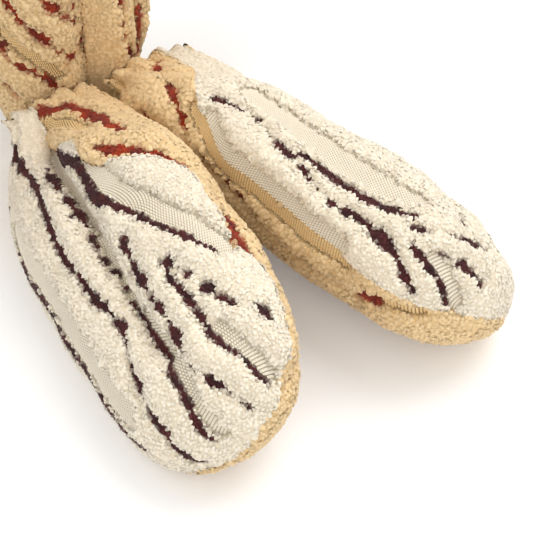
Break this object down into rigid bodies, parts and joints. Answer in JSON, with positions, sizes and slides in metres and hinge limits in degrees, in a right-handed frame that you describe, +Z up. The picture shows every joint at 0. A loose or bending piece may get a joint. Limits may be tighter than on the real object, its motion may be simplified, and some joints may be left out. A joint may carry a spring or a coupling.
{
  "type": "plush squeaky dog toy",
  "caption": "Soft plush dog toy that sits upright with long stuffed legs in front, sewn from striped pile fabric panels, with a bellows squeaker inside the torso.",
  "frame": {"origin": "on the table, under the middle of the whole toy's box", "axes": "+Z up, -Y the way the toy faces and its legs point, +X its left side"},
  "size_m": [0.2022, 0.2046, 0.1924],
  "materials": {
    "cream_pile": "striped cut pile in cream with dark brown stripes on a flat woven ground",
    "tan_pile": "striped curled pile in tan with rust stripes on a flat woven ground",
    "wadding": "loose polyester fibre",
    "stitching": "satin stitched embroidery thread",
    "squeaker_plastic": "soft moulded plastic",
    "reed_plastic": "thin glossy film"
  },
  "bodies": {
    "torso": {"belly_panel_left": "tan_pile", "belly_panel_right": "tan_pile", "back_panel": "cream_pile", "filling_front": "wadding", "filling_back": "wadding", "squeaker_bellows": "squeaker_plastic"},
    "squeaker_top": {"whistle_plug": "squeaker_plastic", "whistle_reed": "reed_plastic"},
    "right_leg": {"right_leg_cream_panel": "cream_pile", "right_leg_tan_panel": "tan_pile", "right_leg_filling": "wadding"},
    "left_leg": {"left_leg_cream_panel": "cream_pile", "left_leg_tan_panel": "tan_pile", "left_leg_filling": "wadding"},
    "right_arm": {"right_arm_cream_panel": "cream_pile", "right_arm_tan_panel": "tan_pile", "right_arm_filling": "wadding"},
    "left_arm": {"left_arm_cream_panel": "cream_pile", "left_arm_tan_panel": "tan_pile", "left_arm_filling": "wadding"},
    "head": {"face_panel": "tan_pile", "cheek_panel_left": "cream_pile", "head_back_panel": "cream_pile", "cheek_panel_right": "cream_pile", "head_filling": "wadding", "muzzle": "tan_pile", "nose": "stitching", "right_eye": "stitching", "left_eye": "stitching"},
    "right_ear": {"right_ear_cream_panel": "cream_pile", "right_ear_tan_panel": "tan_pile"},
    "left_ear": {"left_ear_cream_panel": "cream_pile", "left_ear_tan_panel": "tan_pile"}
  },
  "joints": [
    {"name": "right_hip", "type": "hinge", "parent": "torso", "child": "right_leg", "pos_m": [-0.0175, 0.0392, 0.02435], "axis": [1, 0, 0], "range_deg": [-45, 70]},
    {"name": "left_hip", "type": "hinge", "parent": "torso", "child": "left_leg", "pos_m": [0.0175, 0.0392, 0.02435], "axis": [1, 0, 0], "range_deg": [-45, 70]},
    {"name": "right_shoulder", "type": "hinge", "parent": "torso", "child": "right_arm", "pos_m": [-0.02997, 0.0679, 0.09681], "axis": [0, 1, 0], "range_deg": [-20, 45]},
    {"name": "left_shoulder", "type": "hinge", "parent": "torso", "child": "left_arm", "pos_m": [0.02997, 0.0679, 0.09681], "axis": [0, -1, 0], "range_deg": [-20, 45]},
    {"name": "neck", "type": "hinge", "parent": "torso", "child": "head", "pos_m": [0, 0.0679, 0.1604], "axis": [1, 0, 0], "range_deg": [-20, 20], "stiffness_Nm_per_rad": 0.12},
    {"name": "right_ear_flap", "type": "hinge", "parent": "head", "child": "right_ear", "pos_m": [-0.03522, 0.0679, 0.17578], "axis": [0, 1, 0], "range_deg": [-10, 70], "stiffness_Nm_per_rad": 0.012},
    {"name": "left_ear_flap", "type": "hinge", "parent": "head", "child": "left_ear", "pos_m": [0.03522, 0.0679, 0.17578], "axis": [0, -1, 0], "range_deg": [-10, 70], "stiffness_Nm_per_rad": 0.012},
    {"name": "squeeze", "type": "slide", "parent": "torso", "child": "squeaker_top", "axis": [0, 0, -1], "range_m": [0, 0.007], "stiffness_N_per_m": 150, "deforming": ["squeaker_bellows"]}
  ]
}
